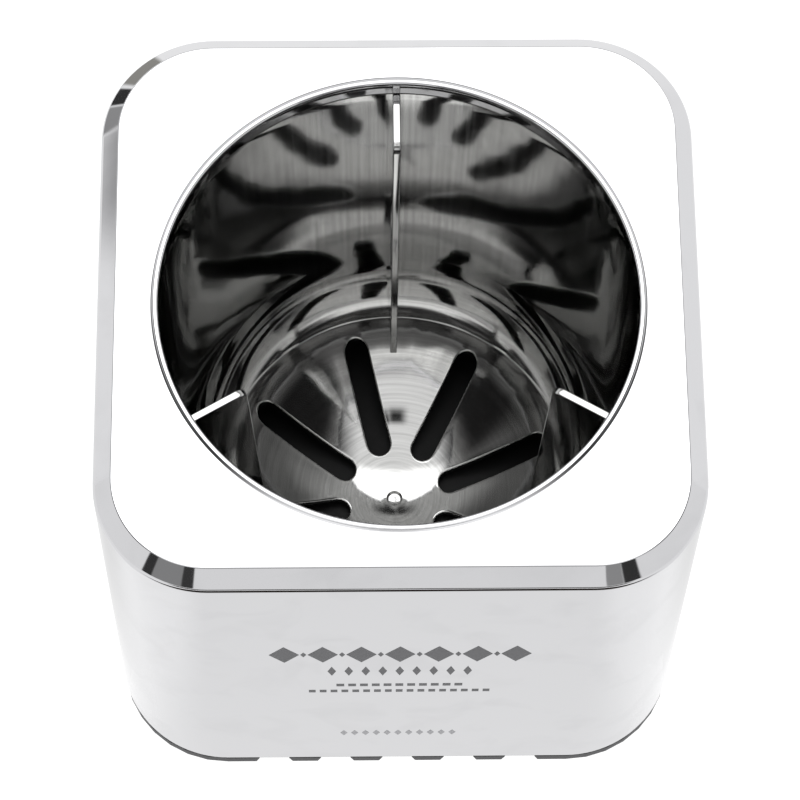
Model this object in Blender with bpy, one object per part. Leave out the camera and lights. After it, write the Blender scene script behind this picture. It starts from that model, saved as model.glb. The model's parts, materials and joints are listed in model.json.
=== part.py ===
"""Square toilet brush holder with a round opening, at rest. Units are metres, +Z is up.

The origin is the middle of the underside, on the surface that the holder stands on, and the
front faces -Y. Four pieces of plastic and metal make it up:

* a drip tray, whose feet stand on the floor,
* a moulded and chrome-plated shell that is set over the tray,
* a chrome-plated cup inside the shell, where the brush stands,
* four self-tapping screws that hold the cup to bosses under the shell's top.

The shell, cup and screws lift straight up off the tray, so they hang on one empty.
"""

import math

import bmesh
import bpy
from mathutils import Matrix, Vector

MM = 0.001

# Overall size
HEIGHT = 106.0 * MM
FIT_GAP = 0.3 * MM  # between neighbours that touch on the real holder

# Shell: a box that is open below, drafted so that it leaves its mould
SHELL_HALF = 55.0 * MM  # half the width at the lower edge of the rim chamfer
SHELL_CORNER = 20.8 * MM
SHELL_DRAFT = 1.1 * MM  # the bottom edge stands this far outside the rim, on each side
SHELL_BOTTOM = 3.0 * MM
SHELL_WALL = 2.2 * MM
CHAMFER_IN = 3.4 * MM
CHAMFER_DOWN = 3.2 * MM
EDGE_RADIUS = 0.5 * MM
BEAD_RISE = 0.3 * MM
SHELL_TOP = HEIGHT - BEAD_RISE
CHAMFER_LOW = SHELL_TOP - CHAMFER_DOWN
CORNER_STEPS = 12

# Opening: a raised bead that turns down into a short collar
OPENING_RADIUS = 43.75 * MM
COLLAR_OUTER = 46.0 * MM
COLLAR_DEPTH = 3.6 * MM
COLLAR_LOW = SHELL_TOP - COLLAR_DEPTH
BEAD_OUTER = 45.3 * MM
ROUND_STEPS = 72

# Cup: a drafted bucket with a bowl for a floor
CUP_TOP = COLLAR_LOW - FIT_GAP
CUP_TOP_RADIUS = 44.0 * MM
CUP_WALL = 1.6 * MM
WALL_DRAFT = 0.0384  # how far the wall leans in, as a share of its height
FLOOR_LOW = 3.4 * MM
FLOOR_THICKNESS = 1.2 * MM
BOWL_RADIUS = 17.0 * MM  # the middle of the floor curves more than the rest of it
BOWL_CURVE = 24.4  # change of slope per metre of radius
OUTER_CURVE = 17.5
BEND_START = 29.0 * MM  # the radius where the floor turns up into the wall
FLOOR_STEPS = 7
BEND_STEPS = 8

# Slots in the cup's floor
SLOT_COUNT = 8
SLOT_FIRST = math.radians(15)
SLOT_WIDTH = 4.7 * MM
SLOT_INNER = 12.1 * MM  # centre of the inner round end
SLOT_OUTER = 30.0 * MM  # centre of the outer round end
SLOT_CUT_TOP = 20.0 * MM  # above the floor all along a slot
DIMPLE_RADIUS = 1.55 * MM
DIMPLE_DEPTH = 0.5 * MM

# Ribs that hold the brush head off the wall
RIB_ANGLES = [math.radians(angle) for angle in (90, 210, 330)]
RIB_THICKNESS = 1.4 * MM
RIB_TOP_RADIUS = 32.2 * MM
RIB_FOOT_RADIUS = 29.0 * MM
RIB_ROUNDING = 2.0 * MM
RIB_ROOT = 0.8 * MM  # how far a rib's back reaches into the wall

# Screwed fixing of the cup, on the diagonals
FIXING_ANGLES = [math.radians(angle) for angle in (45, 135, 225, 315)]
FIXING_RADIUS = 56.5 * MM
BOSS_RADIUS = 3.6 * MM
BOSS_LOW = 92.0 * MM
BOSS_HOLE_RADIUS = 1.75 * MM
BOSS_HOLE_TOP = 102.6 * MM
LUG_TOP = BOSS_LOW - FIT_GAP
LUG_THICKNESS = 3.2 * MM
LUG_HALF_WIDTH = 4.5 * MM
LUG_ROOT = 44.2 * MM
LUG_HOLE_RADIUS = 1.8 * MM
WEB_THICKNESS = 1.5 * MM
WEB_REACH = 50.8 * MM
WEB_DROP = 11.0 * MM

# Screws
SCREW_HEAD_RADIUS = 2.8 * MM
SCREW_HEAD_HEIGHT = 2.0 * MM
SCREW_CREST = 1.45 * MM
SCREW_CORE = 1.1 * MM
SCREW_PITCH = 1.1 * MM
SCREW_THREADS = 9
SCREW_NECK = 1.2 * MM
SCREW_POINT = 1.3 * MM
SCREW_SIDES = 12
DRIVE_LENGTH = 3.2 * MM
DRIVE_WIDTH = 0.7 * MM
DRIVE_DEPTH = 1.1 * MM

# Drip tray
TRAY_HALF = 55.7 * MM
TRAY_CORNER = 21.2 * MM
TRAY_TOP = SHELL_BOTTOM - FIT_GAP
LEDGE_THICKNESS = 0.8 * MM
TUB_HALF = 53.5 * MM
TUB_CORNER = 19.0 * MM
TUB_WALL = 1.6 * MM
TUB_HEIGHT = 12.7 * MM
TUB_LOW = 0.7 * MM
TUB_FLOOR = 1.1 * MM

# Feet: a row along each side and one that wraps each corner
FOOT_OUT = 55.95 * MM
FOOT_DEPTH = 3.5 * MM
FOOT_CORNER = 21.45 * MM
FOOT_LENGTH = 5.1 * MM
FOOT_PITCH = 12.5 * MM
FEET_PER_SIDE = 4
FOOT_FLARE = 0.7 * MM  # each end leans out by this much towards the tray
FOOT_TOP = TRAY_TOP - 0.4 * MM


# ---------------------------------------------------------------- helpers


def clear_scene():
    """Remove every object that the file opened with."""
    for old in list(bpy.data.objects):
        bpy.data.objects.remove(old, do_unlink=True)


def plastic(name, colour, metallic, roughness):
    """Make a Principled material."""
    material = bpy.data.materials.new(name)
    material.use_nodes = True
    shader = material.node_tree.nodes["Principled BSDF"]
    shader.inputs["Base Color"].default_value = (*colour, 1.0)
    shader.inputs["Metallic"].default_value = metallic
    shader.inputs["Roughness"].default_value = roughness
    return material


def new_object(name, bm, material=None):
    """Turn a bmesh into an object of the scene, with its faces pointing out."""
    bmesh.ops.recalc_face_normals(bm, faces=bm.faces)
    mesh = bpy.data.meshes.new(name)
    bm.to_mesh(mesh)
    bm.free()
    mesh.shade_smooth()
    mesh.set_sharp_from_angle(angle=math.radians(30))
    made = bpy.data.objects.new(name, mesh)
    bpy.context.scene.collection.objects.link(made)
    if material:
        mesh.materials.append(material)
    return made


def add_loft(bm, loops):
    """Add a solid that runs through loops of points, all of one length, with both ends closed."""
    rings = [[bm.verts.new(point) for point in loop] for loop in loops]
    for low, high in zip(rings, rings[1:]):
        for here in range(len(low)):
            after = (here + 1) % len(low)
            bm.faces.new((low[here], low[after], high[after], high[here]))
    bm.faces.new(reversed(rings[0]))
    bm.faces.new(rings[-1])


def add_lathe(bm, profile, steps):
    """Turn a profile of (radius, height) points about the Z axis. One on the axis becomes a tip."""
    rings = []
    for radius, height in profile:
        if radius < 1e-9:
            rings.append([bm.verts.new((0, 0, height))])
        else:
            rings.append([bm.verts.new(point) for point in circle(radius, height, steps)])
    closed = len(rings[0]) > 1 and len(rings[-1]) > 1
    following = rings[1:] + rings[:1] if closed else rings[1:]
    for first, second in zip(rings, following):
        for here in range(steps):
            after = (here + 1) % steps
            if len(first) == 1:
                bm.faces.new((first[0], second[after], second[here]))
            elif len(second) == 1:
                bm.faces.new((first[here], first[after], second[0]))
            else:
                bm.faces.new((first[here], first[after], second[after], second[here]))


def solid_loft(name, loops, material=None):
    bm = bmesh.new()
    add_loft(bm, loops)
    return new_object(name, bm, material)


def solid_lathe(name, profile, material=None, steps=ROUND_STEPS):
    bm = bmesh.new()
    add_lathe(bm, profile, steps)
    return new_object(name, bm, material)


def circle(radius, height, steps):
    """Points round the Z axis, counter-clockwise."""
    turns = [2 * math.pi * step / steps for step in range(steps)]
    return [Vector((radius * math.cos(turn), radius * math.sin(turn), height)) for turn in turns]


def rounded_square(half, corner, height, steps=CORNER_STEPS):
    """Points round a square with round corners, counter-clockwise."""
    points = []
    for quarter in range(4):
        middle = Vector((half - corner, half - corner, height))
        for step in range(steps + 1):
            turn = math.pi / 2 * step / steps
            arm = Vector((corner * math.cos(turn), corner * math.sin(turn), 0))
            points.append(Matrix.Rotation(quarter * math.pi / 2, 3, "Z") @ (middle + arm))
    return points


def stadium(inner, outer, half_width, height, steps=10):
    """Points round a slot that runs along +X, from one round end's centre to the other's."""
    points = []
    for centre, start in ((outer, -math.pi / 2), (inner, math.pi / 2)):
        for step in range(steps + 1):
            turn = start + math.pi * step / steps
            offset = Vector((half_width * math.cos(turn), half_width * math.sin(turn), 0))
            points.append(Vector((centre, 0, height)) + offset)
    return points


def turned(points, angle):
    """The same points, turned about the Z axis."""
    turn = Matrix.Rotation(angle, 3, "Z")
    return [turn @ point for point in points]


def fixing_point(angle, height=0.0):
    """A point on the axis of the screw that stands at this angle."""
    return Vector((FIXING_RADIUS * math.cos(angle), FIXING_RADIUS * math.sin(angle), height))


def moved(points, offset):
    return [point + offset for point in points]


def combine(target, tool, operation):
    """Join tool to target, or cut it away, with a Boolean modifier. The tool isn't rendered."""
    modifier = target.modifiers.new(tool.name, "BOOLEAN")
    modifier.operation = operation
    modifier.solver = "EXACT"
    modifier.object = tool
    tool.hide_render = True
    tool.display_type = "WIRE"


# ---------------------------------------------------------------- shell


def shell_half(height):
    """Half the shell's outside width at a height on its drafted wall."""
    down = (CHAMFER_LOW - height) / (CHAMFER_LOW - SHELL_BOTTOM)
    return SHELL_HALF + SHELL_DRAFT * down


def shell_block(material):
    """The shell's outside as a solid block, with its edges rounded."""
    bottom_half = shell_half(SHELL_BOTTOM)
    block = solid_loft(
        "outer_shell",
        [
            rounded_square(bottom_half, SHELL_CORNER + SHELL_DRAFT, SHELL_BOTTOM),
            rounded_square(SHELL_HALF, SHELL_CORNER, CHAMFER_LOW),
            rounded_square(SHELL_HALF - CHAMFER_IN, SHELL_CORNER - CHAMFER_IN, SHELL_TOP),
        ],
        material,
    )
    rounding = block.modifiers.new("edge rounding", "BEVEL")
    rounding.width = EDGE_RADIUS
    rounding.segments = 3
    rounding.limit_method = "ANGLE"
    rounding.angle_limit = math.radians(30)
    return block


def shell_cavity():
    """The space inside the shell, up to the underside of its top."""
    under = SHELL_TOP - SHELL_WALL
    chamfer_under = CHAMFER_LOW - SHELL_WALL / 2
    below = SHELL_BOTTOM - 5 * MM
    rim = SHELL_HALF - SHELL_WALL
    low_half = shell_half(below) - SHELL_WALL
    return solid_loft(
        "shell_cavity",
        [
            rounded_square(low_half, SHELL_CORNER + SHELL_DRAFT - SHELL_WALL, below),
            rounded_square(rim, SHELL_CORNER - SHELL_WALL, chamfer_under),
            rounded_square(rim - CHAMFER_IN / 2, SHELL_CORNER - SHELL_WALL - CHAMFER_IN / 2, under),
        ],
    )


def lip_ring():
    """The raised bead round the opening and the collar below it."""
    profile = [
        (BEAD_OUTER, SHELL_TOP - BEAD_RISE / 2),
        (44.70 * MM, HEIGHT - 0.05 * MM),
        (44.40 * MM, HEIGHT),
        (44.10 * MM, HEIGHT - 0.07 * MM),
        (43.85 * MM, HEIGHT - 0.30 * MM),
        (OPENING_RADIUS, HEIGHT - 0.65 * MM),
        (OPENING_RADIUS, COLLAR_LOW),
        (COLLAR_OUTER, COLLAR_LOW),
        (COLLAR_OUTER, SHELL_TOP - SHELL_WALL / 2),
    ]
    return solid_lathe("lip_ring", profile)


def boss_posts():
    """Four posts that hang from the underside of the top."""
    bm = bmesh.new()
    for angle in FIXING_ANGLES:
        low = moved(circle(BOSS_RADIUS, BOSS_LOW, 24), fixing_point(angle))
        high = moved(circle(BOSS_RADIUS, SHELL_TOP - SHELL_WALL / 2, 24), fixing_point(angle))
        add_loft(bm, [low, high])
    return new_object("boss_posts", bm)


def boss_holes():
    """The blind holes that the screws drive into. They clear the tips of the threads."""
    bm = bmesh.new()
    for angle in FIXING_ANGLES:
        low = moved(circle(BOSS_HOLE_RADIUS, BOSS_LOW - 1 * MM, 20), fixing_point(angle))
        high = moved(circle(BOSS_HOLE_RADIUS, BOSS_HOLE_TOP, 20), fixing_point(angle))
        add_loft(bm, [low, high])
    return new_object("boss_holes", bm)


def make_outer_shell(material):
    shell = shell_block(material)
    hole_radius = (OPENING_RADIUS + BEAD_OUTER) / 2
    hole = solid_loft(
        "shell_hole",
        [circle(hole_radius, height, ROUND_STEPS) for height in (COLLAR_LOW, HEIGHT + 5 * MM)],
    )
    combine(shell, shell_cavity(), "DIFFERENCE")
    combine(shell, hole, "DIFFERENCE")
    combine(shell, lip_ring(), "UNION")
    combine(shell, boss_posts(), "UNION")
    combine(shell, boss_holes(), "DIFFERENCE")
    return shell


# ---------------------------------------------------------------- cup


def wall_radius(height):
    """The cup's inside radius at a height on its drafted wall."""
    return CUP_TOP_RADIUS - (CUP_TOP - height) * WALL_DRAFT


def floor_height(radius):
    """The top of the cup's floor, from its middle out to the start of the bend."""
    inner = min(radius, BOWL_RADIUS)
    outer = radius - inner
    height = FLOOR_LOW + BOWL_CURVE * inner**2 / 2
    return height + BOWL_CURVE * inner * outer + OUTER_CURVE * outer**2 / 2


def floor_lean(radius):
    """The angle of the floor's slope at a radius."""
    inner = min(radius, BOWL_RADIUS)
    return math.atan(BOWL_CURVE * inner + OUTER_CURVE * (radius - inner))


def bend_points():
    """The bend between floor and wall, as (radius, height, lean). Its radius is the one that
    lets the drafted wall end at the rim."""
    foot = floor_height(BEND_START)
    low = floor_lean(BEND_START)
    high = math.pi / 2 - math.atan(WALL_DRAFT)
    room = CUP_TOP_RADIUS - BEND_START - (CUP_TOP - foot) * WALL_DRAFT
    rise = math.cos(low) - math.cos(high)
    bend_radius = room / (math.sin(high) - math.sin(low) - rise * WALL_DRAFT)
    points = []
    for step in range(BEND_STEPS + 1):
        lean = low + (high - low) * step / BEND_STEPS
        radius = BEND_START + bend_radius * (math.sin(lean) - math.sin(low))
        height = foot + bend_radius * (math.cos(low) - math.cos(lean))
        points.append((radius, height, lean))
    return points


def cup_profile():
    """Half of the cup's section, from the middle of its floor up the inside and down outside."""
    line = []
    for step in range(FLOOR_STEPS):
        radius = BEND_START * step / FLOOR_STEPS
        line.append((radius, floor_height(radius), floor_lean(radius), FLOOR_THICKNESS))
    for step, (radius, height, lean) in enumerate(bend_points()):
        thickness = FLOOR_THICKNESS + (CUP_WALL - FLOOR_THICKNESS) * step / BEND_STEPS
        line.append((radius, height, lean, thickness))
    inside = [(radius, height) for radius, height, lean, thickness in line]
    outside = [
        (radius + thickness * math.sin(lean), height - thickness * math.cos(lean))
        for radius, height, lean, thickness in line
    ]
    rim = [(CUP_TOP_RADIUS, CUP_TOP), (CUP_TOP_RADIUS + CUP_WALL, CUP_TOP)]
    return inside + rim + outside[::-1]


def rib_outline():
    """A rib's shape as (radius, height): its back lies in the wall and its foot in the floor."""
    top = CUP_TOP - 0.1 * MM
    sunk = FLOOR_THICKNESS / 2
    outline = [(CUP_TOP_RADIUS + RIB_ROOT, top)]
    for step in range(5):
        turn = math.pi / 2 * (1 + step / 4)
        centre = (RIB_TOP_RADIUS + RIB_ROUNDING, top - RIB_ROUNDING)
        arm = (RIB_ROUNDING * math.cos(turn), RIB_ROUNDING * math.sin(turn))
        outline.append((centre[0] + arm[0], centre[1] + arm[1]))
    outline.append((RIB_FOOT_RADIUS, floor_height(RIB_FOOT_RADIUS) - sunk))
    for radius, height, lean in bend_points()[1:]:
        outline.append((radius + sunk * math.sin(lean), height - sunk * math.cos(lean)))
    return outline


def cup_ribs():
    bm = bmesh.new()
    for angle in RIB_ANGLES:
        sides = []
        for side in (RIB_THICKNESS / 2, -RIB_THICKNESS / 2):
            points = [Vector((radius, side, height)) for radius, height in rib_outline()]
            sides.append(turned(points, angle))
        add_loft(bm, sides)
    return new_object("cup_ribs", bm)


def cup_slots():
    bm = bmesh.new()
    for count in range(SLOT_COUNT):
        angle = SLOT_FIRST + count * 2 * math.pi / SLOT_COUNT
        ends = [
            stadium(SLOT_INNER, SLOT_OUTER, SLOT_WIDTH / 2, height)
            for height in (FLOOR_LOW - 5 * MM, SLOT_CUT_TOP)
        ]
        add_loft(bm, [turned(points, angle) for points in ends])
    return new_object("cup_slots", bm)


def floor_dimple():
    """The shallow mark that the moulding gate leaves in the middle of the floor."""
    deep = FLOOR_LOW - DIMPLE_DEPTH
    profile = [
        (0, deep),
        (DIMPLE_RADIUS * 0.6, deep),
        (DIMPLE_RADIUS, FLOOR_LOW),
        (DIMPLE_RADIUS, FLOOR_LOW + 1 * MM),
        (0, FLOOR_LOW + 1 * MM),
    ]
    return solid_lathe("floor_dimple", profile, steps=20)


def cup_lugs():
    """Four flat ears under the shell's bosses."""
    bm = bmesh.new()
    for angle in FIXING_ANGLES:
        loops = []
        for height in (LUG_TOP - LUG_THICKNESS, LUG_TOP):
            outline = stadium(FIXING_RADIUS, FIXING_RADIUS, LUG_HALF_WIDTH, height)
            outer_end = outline[: len(outline) // 2]
            root = [
                Vector((LUG_ROOT, LUG_HALF_WIDTH, height)),
                Vector((LUG_ROOT, -LUG_HALF_WIDTH, height)),
            ]
            loops.append(turned(outer_end + root, angle))
        add_loft(bm, loops)
    return new_object("cup_lugs", bm)


def lug_webs():
    """A thin triangular web that stiffens each lug from below."""
    top = LUG_TOP - LUG_THICKNESS / 2
    foot = LUG_TOP - LUG_THICKNESS - WEB_DROP
    outline = [
        (wall_radius(top) + CUP_WALL / 2, top),
        (wall_radius(foot) + CUP_WALL / 2, foot),
        (WEB_REACH, LUG_TOP - LUG_THICKNESS),
        (WEB_REACH, top),
    ]
    bm = bmesh.new()
    for angle in FIXING_ANGLES:
        sides = []
        for side in (WEB_THICKNESS / 2, -WEB_THICKNESS / 2):
            points = [Vector((radius, side, height)) for radius, height in outline]
            sides.append(turned(points, angle))
        add_loft(bm, sides)
    return new_object("lug_webs", bm)


def lug_holes():
    bm = bmesh.new()
    for angle in FIXING_ANGLES:
        low = circle(LUG_HOLE_RADIUS, LUG_TOP - LUG_THICKNESS - 1 * MM, 20)
        high = circle(LUG_HOLE_RADIUS, LUG_TOP + 1 * MM, 20)
        add_loft(bm, [moved(low, fixing_point(angle)), moved(high, fixing_point(angle))])
    return new_object("lug_holes", bm)


def make_inner_cup(material):
    cup = solid_lathe("inner_cup", cup_profile(), material)
    combine(cup, cup_slots(), "DIFFERENCE")
    combine(cup, cup_ribs(), "UNION")
    combine(cup, floor_dimple(), "DIFFERENCE")
    combine(cup, cup_lugs(), "UNION")
    combine(cup, lug_webs(), "UNION")
    combine(cup, lug_holes(), "DIFFERENCE")
    return cup


# ---------------------------------------------------------------- screws


def screw_profile():
    """Half of a screw's section, point up, with its thread drawn as plain rings."""
    seat = SCREW_HEAD_HEIGHT
    profile = [
        (0, 0),
        (SCREW_HEAD_RADIUS * 0.72, 0),
        (SCREW_HEAD_RADIUS, SCREW_HEAD_HEIGHT * 0.45),
        (SCREW_HEAD_RADIUS, seat),
        (SCREW_CORE, seat),
    ]
    for count in range(SCREW_THREADS):
        low = seat + SCREW_NECK + count * SCREW_PITCH
        profile.append((SCREW_CORE, low))
        profile.append((SCREW_CREST, low + SCREW_PITCH * 0.3))
        profile.append((SCREW_CORE, low + SCREW_PITCH * 0.6))
    end = seat + SCREW_NECK + SCREW_THREADS * SCREW_PITCH
    profile.append((SCREW_CORE, end))
    profile.append((0, end + SCREW_POINT))
    return profile


def drive_recess(name, base):
    """The cross in a screw's head, as one plus-shaped block."""
    arm = DRIVE_LENGTH / 2
    slim = DRIVE_WIDTH / 2
    quarter = [(arm, -slim), (arm, slim), (slim, slim)]
    loops = []
    for height in (-1 * MM, DRIVE_DEPTH):
        points = []
        for count in range(4):
            corner = [Vector((x, y, height)) for x, y in quarter]
            points += turned(corner, count * math.pi / 2)
        loops.append(moved(points, base))
    return solid_loft(name, loops)


def make_screws(material):
    """Four screws that pass up through the cup's lugs into the shell's bosses."""
    head_base = LUG_TOP - LUG_THICKNESS - FIT_GAP - SCREW_HEAD_HEIGHT
    screws = []
    for count, angle in enumerate(FIXING_ANGLES, start=1):
        base = fixing_point(angle, head_base)
        screw = solid_lathe(f"cup_screw_{count}", screw_profile(), material, SCREW_SIDES)
        screw.data.transform(Matrix.Translation(base))
        combine(screw, drive_recess(f"drive_recess_{count}", base), "DIFFERENCE")
        screws.append(screw)
    return screws


# ---------------------------------------------------------------- tray


def tub_outer():
    return solid_loft(
        "tray_tub",
        [rounded_square(TUB_HALF, TUB_CORNER, height) for height in (TUB_LOW, TUB_HEIGHT)],
    )


def tub_cavity():
    half = TUB_HALF - TUB_WALL
    corner = TUB_CORNER - TUB_WALL
    heights = (TUB_LOW + TUB_FLOOR, TUB_HEIGHT + 5 * MM)
    return solid_loft("tray_cavity", [rounded_square(half, corner, height) for height in heights])


def side_feet():
    """Short blocks along each side, with ends that flare towards the tray."""
    bm = bmesh.new()
    for side in range(4):
        for count in range(FEET_PER_SIDE):
            middle = (count - (FEET_PER_SIDE - 1) / 2) * FOOT_PITCH
            loops = []
            for height, flare in ((0, 0), (FOOT_TOP, FOOT_FLARE)):
                half = FOOT_LENGTH / 2 + flare
                near, far = FOOT_OUT - FOOT_DEPTH, FOOT_OUT
                outline = [(near, middle - half), (far, middle - half)]
                outline += [(far, middle + half), (near, middle + half)]
                points = [Vector((x, y, height)) for x, y in outline]
                loops.append(turned(points, side * math.pi / 2))
            add_loft(bm, loops)
    return new_object("side_feet", bm)


def corner_outline(height, start):
    """One corner's foot, seen from above: it begins and ends this far from the side's middle."""
    points = [Vector((FOOT_OUT, start, height))]
    centre = FOOT_OUT - FOOT_CORNER
    for radius, order in ((FOOT_CORNER, range(9)), (FOOT_CORNER - FOOT_DEPTH, range(8, -1, -1))):
        for step in order:
            turn = math.pi / 2 * step / 8
            arm = Vector((radius * math.cos(turn), radius * math.sin(turn), height))
            points.append(Vector((centre, centre, 0)) + arm)
        if radius == FOOT_CORNER:
            points.append(Vector((start, FOOT_OUT, height)))
            points.append(Vector((start, FOOT_OUT - FOOT_DEPTH, height)))
    points.append(Vector((FOOT_OUT - FOOT_DEPTH, start, height)))
    return points


def corner_feet():
    first_gap = FOOT_PITCH - FOOT_LENGTH
    start = FEET_PER_SIDE / 2 * FOOT_PITCH - first_gap / 2 + first_gap
    bm = bmesh.new()
    for quarter in range(4):
        loops = [corner_outline(0, start), corner_outline(FOOT_TOP, start - FOOT_FLARE)]
        add_loft(bm, [turned(points, quarter * math.pi / 2) for points in loops])
    return new_object("corner_feet", bm)


def make_base_tray(material):
    tray = solid_loft(
        "base_tray",
        [
            rounded_square(TRAY_HALF, TRAY_CORNER, height)
            for height in (TRAY_TOP - LEDGE_THICKNESS, TRAY_TOP)
        ],
        material,
    )
    combine(tray, tub_outer(), "UNION")
    combine(tray, side_feet(), "UNION")
    combine(tray, corner_feet(), "UNION")
    combine(tray, tub_cavity(), "DIFFERENCE")
    return tray


# ---------------------------------------------------------------- assembly


def hang_on_lift_axis(pieces):
    """Parent the pieces that lift off together to one empty on the vertical axis."""
    axis = bpy.data.objects.new("lift_axis", None)
    axis.location = (0, 0, SHELL_BOTTOM)
    bpy.context.scene.collection.objects.link(axis)
    bpy.context.view_layer.update()
    for piece in pieces:
        piece.parent = axis
        piece.matrix_parent_inverse = axis.matrix_world.inverted()


def main():
    clear_scene()
    chrome = plastic("chrome_plated_abs", (0.86, 0.87, 0.88), 1.0, 0.06)
    cup_chrome = plastic("chrome_plated_cup", (0.80, 0.80, 0.79), 1.0, 0.12)
    grey = plastic("dark_grey_polypropylene", (0.10, 0.10, 0.105), 0.0, 0.55)
    zinc = plastic("zinc_plated_steel", (0.62, 0.63, 0.62), 1.0, 0.35)
    make_base_tray(grey)
    lifted = [make_outer_shell(chrome), make_inner_cup(cup_chrome)] + make_screws(zinc)
    hang_on_lift_axis(lifted)


main()
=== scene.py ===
# %% [markdown]
# # Toilet brush holder: a chrome-plated cube with a round opening
#
# The real holder is four things: a square shell, moulded and then plated, a round plated
# cup that hangs inside it, four screws, and a dark drip tray that all of it stands on.
# The engineering model already has every piece in its true place and size. This script
# keeps that model as the frame and gives the visible pieces fine edges and real finishes.
# The frame is in metres, with the front towards -Y and the floor at Z = 0. Outlines are
# written in millimetres, as on a drawing, and turned to metres where they become meshes.

# %% Load the frame
import json
import math

import bmesh
import bpy
from mathutils import Matrix, Vector

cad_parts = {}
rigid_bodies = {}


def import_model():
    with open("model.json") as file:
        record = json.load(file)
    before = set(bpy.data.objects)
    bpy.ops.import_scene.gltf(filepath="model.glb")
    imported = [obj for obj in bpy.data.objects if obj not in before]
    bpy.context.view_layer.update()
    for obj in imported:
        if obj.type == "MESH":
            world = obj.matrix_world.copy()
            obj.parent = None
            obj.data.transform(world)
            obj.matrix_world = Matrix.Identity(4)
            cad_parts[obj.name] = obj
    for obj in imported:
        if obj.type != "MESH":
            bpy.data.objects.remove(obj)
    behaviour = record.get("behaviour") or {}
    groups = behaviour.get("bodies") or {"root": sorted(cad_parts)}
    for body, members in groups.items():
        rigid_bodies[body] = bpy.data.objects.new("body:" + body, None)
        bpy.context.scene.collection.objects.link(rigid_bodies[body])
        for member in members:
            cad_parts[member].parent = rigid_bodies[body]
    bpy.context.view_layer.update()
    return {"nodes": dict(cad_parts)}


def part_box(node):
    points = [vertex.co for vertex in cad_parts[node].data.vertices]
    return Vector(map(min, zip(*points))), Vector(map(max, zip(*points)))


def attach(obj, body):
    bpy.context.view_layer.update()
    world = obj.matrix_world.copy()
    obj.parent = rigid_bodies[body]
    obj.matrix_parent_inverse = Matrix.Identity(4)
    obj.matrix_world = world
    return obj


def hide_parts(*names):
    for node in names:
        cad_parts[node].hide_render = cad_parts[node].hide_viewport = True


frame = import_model()

MM = 0.001
shell_low, shell_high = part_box("outer_shell")
cup_low, cup_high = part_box("inner_cup")
tray_low, tray_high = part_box("base_tray")
print("shell, mm:", [round(side / MM, 2) for side in shell_high - shell_low])
print("cup, mm:", [round(side / MM, 2) for side in cup_high - cup_low])

# %% [markdown]
# ## How a piece becomes a mesh
#
# Plated plastic is a mirror, and a mirror shows every fault of its mesh. A primitive with a
# bevel would do for a matte box, but here the flat faces must stay truly flat and the small
# roundings must be real. So each piece is a loft: a stack of loops with the same number of
# points, joined by quads. The corners of each outline are rounded in the outline itself.

# %% Loops, and the loft through them
def loft(bm, loops, closed=True, ring=False):
    """Joins loops of points (in mm) by quads. With ring=True the last joins the first."""
    rows = [[bm.verts.new(Vector(point) * MM) for point in loop] for loop in loops]
    pairs = list(zip(rows, rows[1:])) + ([(rows[-1], rows[0])] if ring else [])
    count = len(loops[0])
    for low, high in pairs:
        for i in range(count if closed else count - 1):
            j = (i + 1) % count
            bm.faces.new((low[i], low[j], high[j], high[i]))
    return rows


def cap(bm, row, flip=False):
    """Closes a loop of vertices with one flat face."""
    bm.faces.new(list(reversed(row)) if flip else row)


def make_piece(name, bm, body, crease=40):
    """Merges touching points, turns the faces out and puts the mesh on its body."""
    bmesh.ops.remove_doubles(bm, verts=bm.verts, dist=0.002 * MM)
    bmesh.ops.recalc_face_normals(bm, faces=bm.faces)
    mesh = bpy.data.meshes.new(name)
    bm.to_mesh(mesh)
    bm.free()
    mesh.polygons.foreach_set("use_smooth", [True] * len(mesh.polygons))
    mesh.set_sharp_from_angle(angle=math.radians(crease))
    obj = bpy.data.objects.new(name, mesh)
    bpy.context.scene.collection.objects.link(obj)
    # A face keeps its own direction right up to its roundings, so that flats reflect as flats.
    flats = obj.modifiers.new("flats", "WEIGHTED_NORMAL")
    flats.mode = "FACE_AREA"
    flats.weight = 100
    flats.keep_sharp = True
    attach(obj, body)
    print(name, len(mesh.polygons), "faces")
    return obj


# %% [markdown]
# A section is easiest to write with sharp corners, as a draughtsman would, each with the
# radius of its rounding beside it. The helper below turns each corner into an arc.

# %% Rounding the corners of a line
def soften(points, radii, steps=6):
    """Rounds the corners of an open line of (a, b) points, each with its own radius in mm."""
    line = [Vector(points[0])]
    for before, corner, after, radius in zip(points, points[1:], points[2:], radii):
        before, corner, after = Vector(before), Vector(corner), Vector(after)
        to_before = (before - corner).normalized()
        to_after = (after - corner).normalized()
        half = to_before.angle(to_after) / 2
        if radius == 0:
            line.append(corner)
            continue
        centre = corner + (to_before + to_after).normalized() * radius / math.sin(half)
        start = corner + to_before * radius / math.tan(half) - centre
        sweep = start.angle_signed(
            corner + to_after * radius / math.tan(half) - centre
        )
        for step in range(steps + 1):
            turn = -sweep * step / steps
            line.append(
                centre
                + Vector(
                    (
                        start.x * math.cos(turn) - start.y * math.sin(turn),
                        start.x * math.sin(turn) + start.y * math.cos(turn),
                    )
                )
            )
    line.append(Vector(points[-1]))
    return line


# %% [markdown]
# ## The shell
#
# The real shell is one ABS moulding: four walls with a little draft, a chamfer round the top
# with soft edges, a flat top plate, a round opening with a raised bead, and a short collar
# that turns down inside it. The section is drawn once, as inset and height, and swept round a
# square with rounded corners. Where the plate meets the opening, the outline changes from
# the square to the circle, point by point.

# %% The shell's outlines
SHELL_HALF = 55.0
SHELL_CORNER = 20.8
SIDE_STEPS = 30
CORNER_STEPS = 24


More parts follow.
